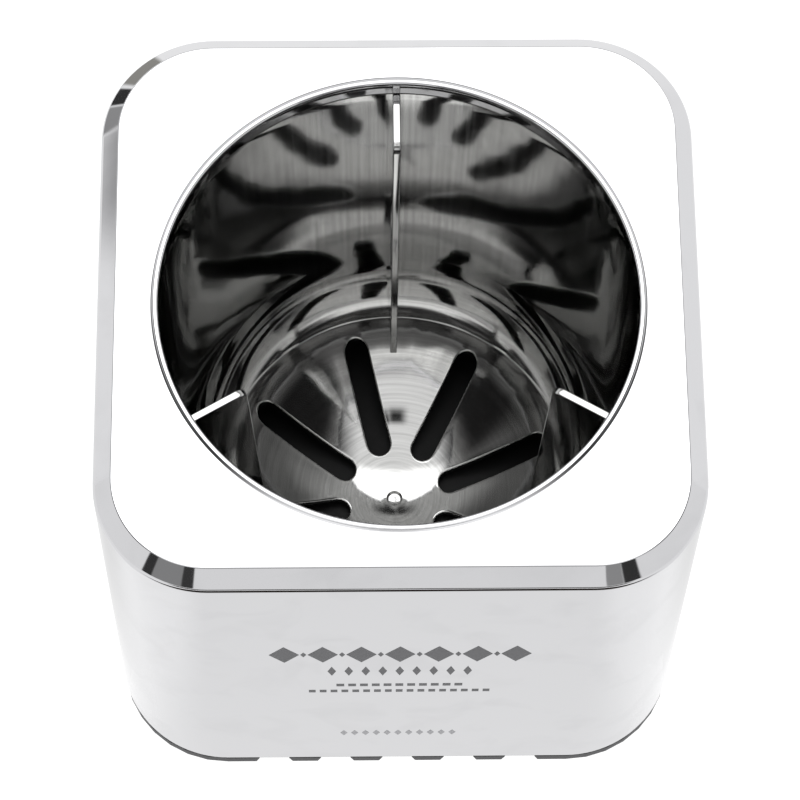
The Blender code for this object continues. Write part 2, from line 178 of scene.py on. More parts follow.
def square_loop(inset, height):
    """A square with round corners, set in from the shell's nominal outline."""
    half, corner = SHELL_HALF - inset, SHELL_CORNER - inset
    straight = half - corner
    loop = []
    for quarter in range(4):
        turn = quarter * math.pi / 2
        side = [
            (half, -straight + 2 * straight * step / SIDE_STEPS)
            for step in range(SIDE_STEPS)
        ]
        arc = [
            (
                straight + corner * math.cos(angle),
                straight + corner * math.sin(angle),
            )
            for angle in (
                math.pi / 2 * step / CORNER_STEPS for step in range(CORNER_STEPS)
            )
        ]
        for x, y in side + arc:
            loop.append(
                (
                    x * math.cos(turn) - y * math.sin(turn),
                    x * math.sin(turn) + y * math.cos(turn),
                    height,
                )
            )
    return loop


BEARINGS = [math.atan2(y, x) for x, y, z in square_loop(0, 0)]


def opening_loop(radius, height):
    """A circle whose points face those of the square outline."""
    return [
        (radius * math.cos(turn), radius * math.sin(turn), height) for turn in BEARINGS
    ]


def between(loop_a, loop_b, share):
    """A loop part of the way from one loop to another with as many points."""
    return [
        tuple(a + (b - a) * share for a, b in zip(point_a, point_b))
        for point_a, point_b in zip(loop_a, loop_b)
    ]


print("points round the shell:", len(BEARINGS))

# %% [markdown]
# The section runs up the outside, over the plate, down through the opening and back along the
# inside. Its widths are insets from the nominal outline for the square part, and radii for the
# round part. The mould needs the walls to lean, so the shell is wider at its foot.

# %% The shell's section
SHELL_TOP = 105.7
SHELL_FOOT = 3.0
PLATE_UNDERSIDE = 103.5
CHAMFER_FOOT = 102.5
CHAMFER_WIDTH = 3.4
LEAN = 1.1  # how much further out the wall stands at its foot
BEAD_TOP = 106.0
COLLAR_RADIUS = 43.75
COLLAR_FOOT = 102.1
outside = soften(
    [
        (0.5, SHELL_FOOT),
        (-LEAN, SHELL_FOOT),
        (0.0, CHAMFER_FOOT),
        (CHAMFER_WIDTH, SHELL_TOP),
        (6.0, SHELL_TOP),
    ],
    [0.4, 1.6, 0.5],
)
bead = soften(
    [
        (47.0, SHELL_TOP),
        (45.0, SHELL_TOP),
        (44.4, BEAD_TOP + 0.15),
        (COLLAR_RADIUS - 0.2, BEAD_TOP - 0.1),
        (COLLAR_RADIUS, 104.2),
        (COLLAR_RADIUS, COLLAR_FOOT),
        (46.0, COLLAR_FOOT),
        (46.0, PLATE_UNDERSIDE),
        (47.2, PLATE_UNDERSIDE),
    ],
    [1.2, 0.3, 0.9, 0.8, 0.15, 0.3, 0.3],
)
bead = [Vector((point.x, min(point.y, BEAD_TOP))) for point in bead]
inside = soften(
    [(7.0, PLATE_UNDERSIDE), (1.9, PLATE_UNDERSIDE), (0.9, SHELL_FOOT), (0.5, SHELL_FOOT)],
    [0.8, 0.3],
)
print("points in the section:", len(outside) + len(bead) + len(inside))

# %% The shell's mesh
bm = bmesh.new()
loops = [square_loop(inset, height) for inset, height in outside]
plate_edge = square_loop(*outside[-1])
loops += [between(plate_edge, opening_loop(*bead[0]), share) for share in (0.3, 0.65)]
loops += [opening_loop(radius, height) for radius, height in bead]
under_edge = square_loop(*inside[0])
loops += [between(opening_loop(*bead[-1]), under_edge, share) for share in (0.35, 0.7)]
loops += [square_loop(inset, height) for inset, height in inside]
loft(bm, loops[:-1], ring=True)
print("loops round the shell:", len(loops) - 1)

# %% [markdown]
# Four bosses hang under the plate, one in each corner. Each is a tube that a self-tapping
# screw bites into, with its foot rounded off a little.

# %% The screw bosses
FIXINGS = [math.radians(angle) for angle in (45, 135, 225, 315)]
FIXING_RADIUS = 56.5
BOSS_STEPS = 32
BORE, BOSS = 1.75, 3.6
BOSS_FOOT = 92.0
BOSS_SECTION = [
    (BORE, PLATE_UNDERSIDE - 0.1),
    (BORE, BOSS_FOOT + 0.3),
    (BORE + 0.3, BOSS_FOOT),
    (BOSS - 0.2, BOSS_FOOT),
    (BOSS, BOSS_FOOT + 0.2),
    (BOSS, PLATE_UNDERSIDE + 0.4),
]
for angle in FIXINGS:
    x, y = FIXING_RADIUS * math.cos(angle), FIXING_RADIUS * math.sin(angle)
    turns = [math.tau * step / BOSS_STEPS for step in range(BOSS_STEPS)]
    boss = [
        [(x + radius * math.cos(turn), y + radius * math.sin(turn), height) for turn in turns]
        for radius, height in BOSS_SECTION
    ]
    loft(bm, boss, ring=True)
shell = make_piece("plated_shell", bm, "holder")
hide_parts("outer_shell")

# %% [markdown]
# ## The cup
#
# The cup is a drafted bucket with a bowl-shaped floor. The wall leans in a little as it goes
# down, then turns through one wide bend into the bowl, and the bowl curves most in its middle.
# These curves decide what the mirror shows, so they are formulas that every later cell uses.

# %% The cup's curves
RIM = 101.8
RIM_RADIUS = 44.0
CUP_WALL = 1.6
FLOOR_LOW = 3.4
FLOOR_THICKNESS = 1.2
BOWL_RADIUS = 17.0  # the middle of the floor curves more than the rest of it
BOWL_CURVE = 0.0244
OUTER_CURVE = 0.0175
BEND_START = 29.0  # the radius where the floor turns up into the wall
RING_RADIUS = 34.9
WALL_DRAFT = 0.0384


def wall_radius(height):
    """The wall's inside radius above the bend."""
    return RIM_RADIUS - (RIM - height) * WALL_DRAFT


def bowl(radius):
    """Height and slope of the floor, out to the start of the bend."""
    inner = min(radius, BOWL_RADIUS)
    outer = radius - inner
    height = FLOOR_LOW + BOWL_CURVE * inner**2 / 2
    height += BOWL_CURVE * inner * outer + OUTER_CURVE * outer**2 / 2
    return height, BOWL_CURVE * inner + OUTER_CURVE * outer


# The bend's radius is the one that lets the drafted wall end exactly at the rim.
foot, foot_slope = bowl(BEND_START)
LEAN_LOW = math.atan(foot_slope)
LEAN_HIGH = math.pi / 2 - math.atan(WALL_DRAFT)
BEND_RADIUS = (RIM_RADIUS - BEND_START - (RIM - foot) * WALL_DRAFT) / (
    math.sin(LEAN_HIGH)
    - math.sin(LEAN_LOW)
    - (math.cos(LEAN_LOW) - math.cos(LEAN_HIGH)) * WALL_DRAFT
)


def bend_point(lean, thick=0.0):
    """A point of the bend where the surface leans by an angle, or that far under it."""
    return (
        BEND_START + BEND_RADIUS * (math.sin(lean) - math.sin(LEAN_LOW)) + thick * math.sin(lean),
        foot + BEND_RADIUS * (math.cos(LEAN_LOW) - math.cos(lean)) - thick * math.cos(lean),
    )


def lean_at(radius):
    """The bend's angle at a radius."""
    return math.asin(math.sin(LEAN_LOW) + (radius - BEND_START) / BEND_RADIUS)


def floor_height(radius):
    """Height of the floor's upper side, through the bowl and the bend."""
    return bowl(radius)[0] if radius <= BEND_START else bend_point(lean_at(radius))[1]


RING_LEAN = lean_at(RING_RADIUS)
print("bend radius, mm:", round(BEND_RADIUS, 2))
print("witness ring, radius and height:", [round(part, 2) for part in bend_point(RING_LEAN)])

# %% [markdown]
# Eight slots drain the bowl, and their upper edges are rounded, so each catches a thin bright
# line. A Boolean would leave long thin faces round every slot, and a mirror shows those.
# Instead one eighth of the floor is lofted from its outer edge in to the slot, over the slot's
# lip and back along the underside, and is then repeated eight times. Every point is put on
# the floor's own curve.

# %% The outlines of a slot and of its eighth of the floor
SLOT_COUNT = 8
SLOT_FIRST = math.radians(15)
SLOT_INNER = 12.1
SLOT_OUTER = 30.0
SLOT_HALF = 2.35
SLOT_LIP = 0.45
SLOT_END = math.radians(62)  # half of each rounded end's arc; the flanks carry the rest
ARC_STEPS = 20
LENGTH_STEPS = 28
INNER_STEPS = 8
SECTOR_IN = 8.0
HALF_TURN = math.pi / SLOT_COUNT


def slot_loop(grow):
    """The slot's outline: outer end first, then along its length to the inner end."""
    radius = SLOT_HALF + grow
    points = []
    for step in range(ARC_STEPS):
        turn = -SLOT_END + 2 * SLOT_END * step / ARC_STEPS
        points.append((SLOT_OUTER + radius * math.cos(turn), radius * math.sin(turn)))
    for side in (1, -1):
        start = SLOT_OUTER + radius * math.cos(SLOT_END)
        end = SLOT_INNER - radius * math.cos(SLOT_END)
        for step in range(LENGTH_STEPS):
            share = step / LENGTH_STEPS
            if side < 0:
                share = 1 - share
            x = start + (end - start) * share
            if x > SLOT_OUTER:
                y = math.sqrt(radius**2 - (x - SLOT_OUTER) ** 2)
            elif x < SLOT_INNER:
                y = math.sqrt(radius**2 - (SLOT_INNER - x) ** 2)
            else:
                y = radius
            points.append((x, side * y))
        if side > 0:
            for inner in range(INNER_STEPS):
                turn = SLOT_END - 2 * SLOT_END * inner / INNER_STEPS
                points.append(
                    (SLOT_INNER - radius * math.cos(turn), radius * math.sin(turn))
                )
    return points


def sector_loop():
    """The edge of one eighth of the floor, point for point with slot_loop."""
    points = []
    for step in range(ARC_STEPS):
        turn = -HALF_TURN + 2 * HALF_TURN * step / ARC_STEPS
        points.append((RING_RADIUS * math.cos(turn), RING_RADIUS * math.sin(turn)))
    for side in (1, -1):
        for step in range(LENGTH_STEPS):
            share = step / LENGTH_STEPS if side > 0 else 1 - step / LENGTH_STEPS
            radius = RING_RADIUS + (SECTOR_IN - RING_RADIUS) * share
            points.append((radius * math.cos(HALF_TURN), side * radius * math.sin(HALF_TURN)))
        if side > 0:
            for inner in range(INNER_STEPS):
                turn = HALF_TURN - 2 * HALF_TURN * inner / INNER_STEPS
                points.append((SECTOR_IN * math.cos(turn), SECTOR_IN * math.sin(turn)))
    return points


edge, rim = sector_loop(), slot_loop(SLOT_LIP)
assert len(edge) == len(rim)
print("points round one slot:", len(rim))

# %% One eighth of the floor, lofted in to its slot
LIP_STEPS = 5


def on_floor(points, drop=0.0):
    """Lifts flat points onto the floor's curve, or to a depth below it."""
    return [(x, y, floor_height(math.hypot(x, y)) - drop) for x, y in points]


def blend_2d(loop_a, loop_b, share):
    """A flat loop part of the way from one loop to another."""
    return [
        (ax + (bx - ax) * share, ay + (by - ay) * share)
        for (ax, ay), (bx, by) in zip(loop_a, loop_b)
    ]


sector = [on_floor(blend_2d(edge, rim, share)) for share in (0, 0.2, 0.4, 0.6, 0.8, 1)]
for step in range(1, LIP_STEPS + 1):
    turn = math.pi / 2 * step / LIP_STEPS
    grow = SLOT_LIP * (1 - math.sin(turn))
    sector.append(on_floor(slot_loop(grow), SLOT_LIP * (1 - math.cos(turn))))
sector.append(on_floor(slot_loop(0), FLOOR_THICKNESS))
sector += [
    on_floor(blend_2d(slot_loop(0), edge, share), FLOOR_THICKNESS) for share in (0.5, 1)
]
print("loops in one eighth:", len(sector))

# %% [markdown]
# The wall, the rim and the middle of the floor are turned, like the mould that made them. The
# section of the wall starts at the witness ring, a hair-thin step where two parts of the mould
# met, goes up the inside, over the rim and down the outside.

# %% The cup's wall and rim
ROUND_STEPS = ARC_STEPS * SLOT_COUNT


def circle(radius, height, steps=ROUND_STEPS):
    """A loop round the cup's axis. It starts where the first eighth of the floor does."""
    turns = [SLOT_FIRST - HALF_TURN + math.tau * step / steps for step in range(steps)]
    return [(radius * math.cos(turn), radius * math.sin(turn), height) for turn in turns]


def turned(points, angle):
    """Points turned about the cup's axis."""
    c, s = math.cos(angle), math.sin(angle)
    return [(x * c - y * s, x * s + y * c, z) for x, y, z in points]


bm = bmesh.new()
for count in range(SLOT_COUNT):
    angle = SLOT_FIRST + count * math.tau / SLOT_COUNT
    loft(bm, [turned(loop, angle) for loop in sector])

BEND_STEPS = 28
WALL_STEPS = 30
GROOVE = 0.008  # width of the witness ring, as an angle of the bend
GROOVE_DEPTH = 0.05
above_ring = RING_LEAN + GROOVE
leans = [
    above_ring + (LEAN_HIGH - above_ring) * step / BEND_STEPS for step in range(BEND_STEPS + 1)
]
witness = bend_point(RING_LEAN + GROOVE / 2, GROOVE_DEPTH)
wall = [bend_point(RING_LEAN), witness] + [bend_point(lean) for lean in leans]
bend_top = wall[-1][1]
for step in range(1, WALL_STEPS + 1):
    height = bend_top + (RIM - 0.5 - bend_top) * step / WALL_STEPS
    wall.append((wall_radius(height), height))
wall += [
    (RIM_RADIUS + 0.1, RIM - 0.2),
    (RIM_RADIUS + 0.35, RIM),
    (RIM_RADIUS + CUP_WALL - 0.35, RIM),
    (RIM_RADIUS + CUP_WALL, RIM - 0.3),
]
for step in range(BEND_STEPS, -1, -1):
    thick = FLOOR_THICKNESS + (CUP_WALL - FLOOR_THICKNESS) * step / BEND_STEPS
    wall.append(bend_point(leans[step], thick))
wall.append((RING_RADIUS, floor_height(RING_RADIUS) - FLOOR_THICKNESS))
loft(bm, [circle(radius, height) for radius, height in wall])
print("points in the wall's section:", len(wall))

# %% [markdown]
# The small dimple in the middle of the bowl is the mark of the gate, where the plastic ran
# into the mould. Its edge is nearly sharp, so that it shows as a ring.

# %% The middle of the floor, with its dimple
MIDDLE_STEPS = INNER_STEPS * SLOT_COUNT
DIMPLE_RADIUS = 1.5
DIMPLE_DEPTH = 0.7
dimple = soften(
    [
        (3.0, floor_height(3.0)),
        (DIMPLE_RADIUS + 0.1, FLOOR_LOW + 0.03),
        (DIMPLE_RADIUS - 0.1, FLOOR_LOW - DIMPLE_DEPTH),
        (0.2, FLOOR_LOW - DIMPLE_DEPTH),
    ],
    [0.12, 0.25],
)
middle = [(radius, floor_height(radius)) for radius in (SECTOR_IN, 7.0, 6.0, 5.0, 4.0)]
middle += dimple
rows = loft(bm, [circle(radius, height, MIDDLE_STEPS) for radius, height in middle])
cap(bm, rows[-1])
under = [(radius, floor_height(radius) - FLOOR_THICKNESS) for radius in (SECTOR_IN, 4.0)]
rows = loft(bm, [circle(radius, height, MIDDLE_STEPS) for radius, height in under])
cap(bm, rows[-1], flip=True)
print("dimple, mm across:", 2 * DIMPLE_RADIUS)

# %% [markdown]
# Three ribs hold the brush head off the wall. Each is a thin blade with rounded edges, and its
# bright inner edge is what shows. A blade is its outline repeated across its thickness, with
# the outline pulled in a little at both faces.

# %% A blade with rounded edges
def pulled_in(outline, amount):
    """Moves a closed outline inwards by an amount in mm. It runs anticlockwise."""
    result = []
    count = len(outline)
    for i in range(count):
        before = Vector(outline[i - 1])
        here = Vector(outline[i])
        after = Vector(outline[(i + 1) % count])
        first = (here - before).normalized()
        second = (after - here).normalized()
        normal = Vector((-first.y - second.y, first.x + second.x)) / 2
        result.append(tuple(here + normal * amount / max(normal.length_squared, 0.2)))
    return result


def blade(bm, outline, thickness, rounding, angle):
    """A plate standing on a radius of the cup: (radius, height) outline, rounded edges."""
    half = thickness / 2
    loops = []
    for turn in (90, 60, 30, 0):
        pull = rounding * (1 - math.cos(math.radians(turn)))
        side = half - rounding + rounding * math.sin(math.radians(turn))
        loops.append((side, pull))
    loops += [(-side, pull) for side, pull in reversed(loops)]
    rows = loft(
        bm,
        [
            turned([(r, side, z) for r, z in pulled_in(outline, pull)], angle)
            for side, pull in loops
        ],
    )
    cap(bm, rows[0])
    cap(bm, rows[-1], flip=True)


# %% The three ribs
RIB_ANGLES = [math.radians(angle) for angle in (90, 210, 330)]
RIB_TOP = RIM - 0.1
RIB_THICKNESS = 1.4
EDGE_ROUNDING = 0.2
ROOT = 0.6  # how far a rib's outer edge is let into the cup
RIB_FOOT = 29.0
rib = soften(
    [
        (RIM_RADIUS + 0.8, RIB_TOP),
        (32.2, RIB_TOP),
        (RIB_FOOT, floor_height(RIB_FOOT) - ROOT),
        (RIB_FOOT + 5, floor_height(RIB_FOOT + 5) - ROOT),
    ],
    [2.0, 0.0],
    steps=10,
)
rib = [tuple(point) for point in rib]
rib += [
    bend_point(LEAN_LOW + (LEAN_HIGH - LEAN_LOW) * share, ROOT)
    for share in (0.45, 0.6, 0.75, 0.9, 1.0)
]
for angle in RIB_ANGLES:
    blade(bm, rib, RIB_THICKNESS, EDGE_ROUNDING, angle)
print("points in a rib's outline:", len(rib))

# %% [markdown]
# Four lugs reach out from the cup to the bosses, each with a hole for its screw and a web
# under it. They can't be seen from above, but they show when the holder is lifted.

# %% The lugs and their webs
LUG_TOP = 91.7
LUG_THICKNESS = 3.2
LUG_HALF = 4.5
LUG_ROOT = 43.6
LUG_ROUNDING = 0.3
HOLE = 1.8
WEB_DROP = 1.6
WEB_OUT = 50.8
for angle in FIXINGS:
    outline = [
        (FIXING_RADIUS + LUG_HALF * math.cos(turn), LUG_HALF * math.sin(turn))
        for turn in (math.radians(-90 + 15 * step) for step in range(13))
    ]
    outline += [(50.0, LUG_HALF), (LUG_ROOT, LUG_HALF), (LUG_ROOT, -LUG_HALF), (50.0, -LUG_HALF)]
    hole = []
    for x, y in outline:
        turn = math.atan2(y, x - FIXING_RADIUS)
        hole.append((FIXING_RADIUS + HOLE * math.cos(turn), HOLE * math.sin(turn)))
    bottom = LUG_TOP - LUG_THICKNESS
    stack = [
        [(x, y, LUG_TOP) for x, y in hole],
        [(x, y, LUG_TOP) for x, y in pulled_in(outline, LUG_ROUNDING)],
        [(x, y, LUG_TOP - LUG_ROUNDING) for x, y in outline],
        [(x, y, bottom + LUG_ROUNDING) for x, y in outline],
        [(x, y, bottom) for x, y in pulled_in(outline, LUG_ROUNDING)],
        [(x, y, bottom) for x, y in hole],
    ]
    loft(bm, [turned(loop, angle) for loop in stack], ring=True)
    web_foot = bottom - 11.0
    web_top = LUG_TOP - WEB_DROP
    web = [
        (wall_radius(web_top) + CUP_WALL / 2, web_top),
        (wall_radius(web_foot) + CUP_WALL / 2, web_foot),
        (WEB_OUT, bottom),
        (WEB_OUT, web_top),
    ]
    blade(bm, web, 1.5, EDGE_ROUNDING, angle)
cup = make_piece("plated_cup", bm, "holder")
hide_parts("inner_cup")

# %% [markdown]
# ## Materials
#
# Colours are given as sRGB hex values, as a colour picker shows them, and turned to the
# linear values that Blender works with. One helper adds a node, sets it and wires it up.

# %% Two helpers for materials
def colour(hex_code):
    """An sRGB hex value as a linear colour with alpha."""
    parts = [int(hex_code[i : i + 2], 16) / 255 for i in (1, 3, 5)]
    linear = [p / 12.92 if p <= 0.04045 else ((p + 0.055) / 1.055) ** 2.4 for p in parts]
    return (*linear, 1.0)


def add(tree, kind, wires=None, values=None, **settings):
    """Adds a node, with its settings, its values by input name and its incoming wires."""
    node = tree.nodes.new(kind)
    for name, value in settings.items():
        setattr(node, name, value)
    for name, value in (values or {}).items():
        node.inputs[name].default_value = value
    for name, source in (wires or {}).items():
        tree.links.new(source, node.inputs[name])
    return node


def new_material(name):
    """A material with a fresh Principled shader, and the shader to set."""
    material = bpy.data.materials.new(name)
    material.use_nodes = True
    tree = material.node_tree
    tree.nodes.clear()
    shader = tree.nodes.new("ShaderNodeBsdfPrincipled")
    output = tree.nodes.new("ShaderNodeOutputMaterial")
    tree.links.new(shader.outputs[0], output.inputs["Surface"])
    return material, tree, shader


def dress(material, *objects):
    """Gives the objects one material in place of whatever they had."""
    for obj in objects:
        obj.data.materials.clear()
        obj.data.materials.append(material)
    print(material.name, "on", ", ".join(obj.name for obj in objects))


# %% [markdown]
# The shell is ABS, plated with copper, nickel and a last thin layer of chromium. The eye gets
# a cool, slightly grey mirror that is never quite flat: the moulding shrinks a little behind
# its thick parts, so reflections bend over some 20 mm. Wiping leaves hairlines too fine to
# draw one by one, which only widen the highlights a little, and faint dull smudges.

# %% Bright chrome plating on the moulded shell
chrome, tree, shader = new_material("chrome_plated_abs_shell")
shader.inputs["Metallic"].default_value = 1.0
place = add(tree, "ShaderNodeTexCoord").outputs["Object"]
haze = add(
    tree,
    "ShaderNodeTexNoise",
    {"Vector": place},
    {"Scale": 1 / (14 * MM), "Detail": 3.0, "Distortion": 0.6},
).outputs["Fac"]
smudged = add(tree, "ShaderNodeValToRGB", {"Fac": haze})
smudged.color_ramp.elements[0].position = 0.32
smudged.color_ramp.elements[0].color = colour("#C1C1C3")
smudged.color_ramp.elements[1].position = 0.5
smudged.color_ramp.elements[1].color = colour("#C6C6C8")
tree.links.new(smudged.outputs[0], shader.inputs["Base Color"])
sink = add(
    tree,
    "ShaderNodeTexNoise",
    {"Vector": place},
    {"Scale": 1 / (22 * MM), "Detail": 1.0},
).outputs["Fac"]
peel = add(
    tree,
    "ShaderNodeTexNoise",
    {"Vector": place},
    {"Scale": 1 / (2.2 * MM), "Detail": 2.0},
).outputs["Fac"]
sunk = add(tree, "ShaderNodeBump", {"Height": sink}, {"Strength": 0.3, "Distance": 0.1 * MM})
skin = add(
    tree,
    "ShaderNodeBump",
    {"Height": peel, "Normal": sunk.outputs[0]},
    {"Strength": 0.15, "Distance": 0.004 * MM},
)
tree.links.new(skin.outputs[0], shader.inputs["Normal"])
wiped = add(
    tree,
    "ShaderNodeMapRange",
    {"Value": peel},
    {"To Min": 0.03, "To Max": 0.06},
)
tree.links.new(wiped.outputs[0], shader.inputs["Roughness"])
dress(chrome, shell)

# %% [markdown]
# The cup is plated the same way, but nobody polishes inside it. Its mould was turned, so the
# bowl of the floor keeps fine rings, and the draw out of the mould leaves fine upright lines
# on the wall. Both are noises drawn out along the mark and closely spaced across it. The real
# lines are about 0.1 mm apart, too fine to draw, so they are drawn 0.5 to 0.7 mm apart.

# %% The cup's upright lines and turned rings
AROUND = 40 * MM  # the cup's radius, roughly, to turn a bearing into a length round it
cup_chrome, tree, shader = new_material("chrome_plated_abs_cup")
shader.inputs["Metallic"].default_value = 1.0
place = add(tree, "ShaderNodeTexCoord").outputs["Object"]
axes = add(tree, "ShaderNodeSeparateXYZ", {"Vector": place}).outputs
bearing = add(
    tree, "ShaderNodeMath", {0: axes["Y"], 1: axes["X"]}, operation="ARCTAN2"
).outputs[0]
around = add(
    tree, "ShaderNodeMath", {0: bearing}, {1: AROUND}, operation="MULTIPLY"
).outputs[0]
drawn = add(tree, "ShaderNodeCombineXYZ", {"X": around, "Z": axes["Z"]}).outputs[0]
upright = add(
    tree,
    "ShaderNodeMapping",
    {"Vector": drawn},
    {"Scale": (1 / (0.7 * MM), 1.0, 1 / (60 * MM))},
).outputs[0]
lines = add(
    tree, "ShaderNodeTexNoise", {"Vector": upright}, {"Scale": 1.0, "Detail": 3.0}
).outputs["Fac"]
flat = add(
    tree, "ShaderNodeVectorMath", {0: place}, {1: (1.0, 1.0, 0.0)}, operation="MULTIPLY"
).outputs[0]
radius = add(tree, "ShaderNodeVectorMath", {0: flat}, operation="LENGTH").outputs["Value"]
ringed = add(tree, "ShaderNodeCombineXYZ", {"X": radius, "Y": around}).outputs[0]
spun = add(
    tree,
    "ShaderNodeMapping",
    {"Vector": ringed},
    {"Scale": (1 / (0.5 * MM), 1 / (50 * MM), 1.0)},
).outputs[0]
rings = add(
    tree, "ShaderNodeTexNoise", {"Vector": spun}, {"Scale": 1.0, "Detail": 3.0}
).outputs["Fac"]
on_wall = add(
    tree,
    "ShaderNodeMapRange",
    {"Value": axes["Z"]},
    {"From Min": 19 * MM, "From Max": 30 * MM},
).outputs[0]
marks = add(tree, "ShaderNodeMix", {"Factor": on_wall, "A": rings, "B": lines}).outputs[0]
print("lines, mm apart: 0.7 on the wall, 0.5 on the floor")

# %% [markdown]
# Where a mark is, the plating is a little darker and duller, and its relief scatters the
# mirror image along it. The wall has sunk a little as well, over some 16 mm.

# %% Plating over the marks in the cup
tarnish = add(tree, "ShaderNodeValToRGB", {"Fac": marks})
tarnish.color_ramp.elements[0].position = 0.3
tarnish.color_ramp.elements[0].color = colour("#A0A09F")
tarnish.color_ramp.elements[1].position = 0.7
tarnish.color_ramp.elements[1].color = colour("#B7B7B6")
tree.links.new(tarnish.outputs[0], shader.inputs["Base Color"])
sink = add(
    tree,
    "ShaderNodeTexNoise",
    {"Vector": place},
    {"Scale": 1 / (16 * MM), "Detail": 1.0},
).outputs["Fac"]
sunk = add(tree, "ShaderNodeBump", {"Height": sink}, {"Strength": 0.4, "Distance": 0.15 * MM})
scored = add(
    tree,
    "ShaderNodeBump",
    {"Height": marks, "Normal": sunk.outputs[0]},
    {"Strength": 0.2, "Distance": 0.004 * MM},
)
tree.links.new(scored.outputs[0], shader.inputs["Normal"])
worn = add(tree, "ShaderNodeMapRange", {"Value": marks}, {"To Min": 0.03, "To Max": 0.1})
tree.links.new(worn.outputs[0], shader.inputs["Roughness"])
dress(cup_chrome, cup)

# %% [markdown]
# The drip tray is unplated polypropylene with a spark-eroded grain, which gives a soft, dark
# grey with a broad dull highlight. The grain is about 0.3 mm on the real tray, and is drawn at
# 0.4 mm so that it shows. Inside, under the cup, the plastic is painted almost black: painted
# shade for the dark hollow seen through the slots.

# %% Grained polypropylene
tray_plastic, tree, shader = new_material("grained_polypropylene_tray")
shader.inputs["IOR"].default_value = 1.49
# A grained surface gives back less sheen than a smooth one with the same IOR.
shader.inputs["Specular IOR Level"].default_value = 0.25
place = add(tree, "ShaderNodeTexCoord").outputs["Object"]
grain = add(
    tree,
    "ShaderNodeTexNoise",
    {"Vector": place},
    {"Scale": 1 / (0.4 * MM), "Detail": 2.0},
).outputs["Fac"]
shade = add(tree, "ShaderNodeValToRGB", {"Fac": grain})
shade.color_ramp.elements[0].color = colour("#38383A")
shade.color_ramp.elements[1].color = colour("#444446")
flat = add(
    tree, "ShaderNodeVectorMath", {0: place}, {1: (1.0, 1.0, 0.0)}, operation="MULTIPLY"
).outputs[0]
radius = add(tree, "ShaderNodeVectorMath", {0: flat}, operation="LENGTH").outputs["Value"]
# painted shade: within 46 mm of the middle, under the cup, the tray's colour fades to almost black
painted_shade_inside = add(
    tree,
    "ShaderNodeMapRange",
    {"Value": radius},
    {"From Min": 46 * MM, "From Max": 52 * MM, "To Min": 1.0, "To Max": 0.0},
).outputs[0]
shaded_inside_mix = add(
    tree,
    "ShaderNodeMix",
    {"Factor": painted_shade_inside, "A": shade.outputs[0]},
    {"B": colour("#0C0C0D")},
    data_type="RGBA",
)
tree.links.new(shaded_inside_mix.outputs["Result"], shader.inputs["Base Color"])
relief = add(
    tree, "ShaderNodeBump", {"Height": grain}, {"Strength": 0.3, "Distance": 0.03 * MM}
)
tree.links.new(relief.outputs[0], shader.inputs["Normal"])
dull = add(tree, "ShaderNodeMapRange", {"Value": grain}, {"To Min": 0.45, "To Max": 0.6})
tree.links.new(dull.outputs[0], shader.inputs["Roughness"])
dress(tray_plastic, frame["nodes"]["base_tray"])

# %% [markdown]
# The screws are rolled from stainless wire, so their heads are smooth and their threads carry
# fine lines round the shank. The lines are drawn 0.15 mm apart, which is coarser than they
# are, so that they show.

# %% Rolled stainless steel
steel, tree, shader = new_material("rolled_stainless_steel_screw")
shader.inputs["Metallic"].default_value = 1.0
place = add(tree, "ShaderNodeTexCoord").outputs["Object"]
rolling = add(
    tree,
    "ShaderNodeMapping",
    {"Vector": place},
    {"Scale": (1 / (1.5 * MM), 1 / (1.5 * MM), 1 / (0.15 * MM))},
).outputs[0]
rolled = add(
    tree, "ShaderNodeTexNoise", {"Vector": rolling}, {"Scale": 1.0, "Detail": 2.0}
).outputs["Fac"]
tone = add(tree, "ShaderNodeValToRGB", {"Fac": rolled})
tone.color_ramp.elements[0].color = colour("#A9A8A6")
tone.color_ramp.elements[1].color = colour("#C9C8C5")
tree.links.new(tone.outputs[0], shader.inputs["Base Color"])
rubbed = add(tree, "ShaderNodeMapRange", {"Value": rolled}, {"To Min": 0.2, "To Max": 0.35})
tree.links.new(rubbed.outputs[0], shader.inputs["Roughness"])
dress(steel, *[frame["nodes"][f"cup_screw_{count}"] for count in range(1, 5)])

# %% [markdown]
# ## The print on the front
#
# The real holder has a few lines of grey pad print on its front. A neutral ornament of
# lozenges and dashes takes their place here. Each mark is a thin film of ink: a small closed
# plate that follows the draft of the wall and stands 0.03 mm proud of it. A decal would be
# quicker, but it would have no edge and would stretch where the wall leans.

# %% A film of ink on the sloping wall
FILM = (-0.02, 0.03)  # from just inside the wall to just proud of it


def front_point(x, height, proud):
    """A point on the front wall, at a height, standing proud of it."""
    out = LEAN * (CHAMFER_FOOT - height) / (CHAMFER_FOOT - SHELL_FOOT)
    return (x, -(SHELL_HALF + out) - proud, height)


def film(bm, outline):
    """A closed plate of ink over an outline of (x, height) points."""
    rows = loft(bm, [[front_point(x, z, proud) for x, z in outline] for proud in FILM])
    cap(bm, rows[0])
    cap(bm, rows[1], flip=True)


def lozenge(bm, x, z, wide, high):
    """A mark with four points, by its middle and its half width and half height."""
    film(bm, [(x - wide, z), (x, z - high), (x + wide, z), (x, z + high)])


def bar(bm, x, z, wide, high):
    """A dash, by its middle and its half width and half height."""
    low, top = z - high, z + high
    film(bm, [(x - wide, low), (x + wide, low), (x + wide, top), (x - wide, top)])


print("ink film, mm thick:", FILM[1] - FILM[0])

